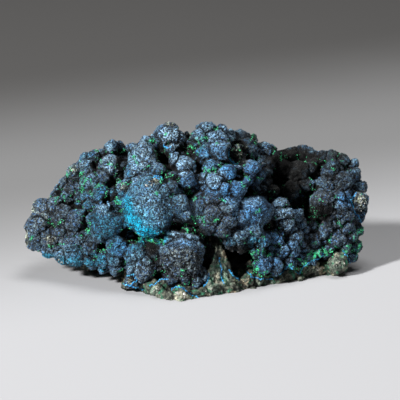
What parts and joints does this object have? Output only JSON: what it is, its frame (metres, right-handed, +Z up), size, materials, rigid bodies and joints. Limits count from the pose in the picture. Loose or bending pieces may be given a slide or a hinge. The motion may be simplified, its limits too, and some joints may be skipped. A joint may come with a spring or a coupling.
{
  "type": "cornetite crystal specimen",
  "caption": "Hand specimen of cornetite: a lumpy, drusy dark blue crust with turquoise and green patches, grown on a wedge of broken host rock that rests on its cut base.",
  "frame": {"origin": "on the cut base that the specimen rests on, under the middle of the grown face", "axes": "+X along the specimen to the right as seen from its grown face, +Y away from the grown face, +Z up"},
  "size_m": [0.1163, 0.0589, 0.0533],
  "materials": {
    "cornetite": "velvety druse of fine crystals, satin",
    "host_rock": "rough broken rock, matte"
  },
  "bodies": {
    "root": {"cornetite_crust": "cornetite", "matrix": "host_rock"}
  },
  "joints": []
}
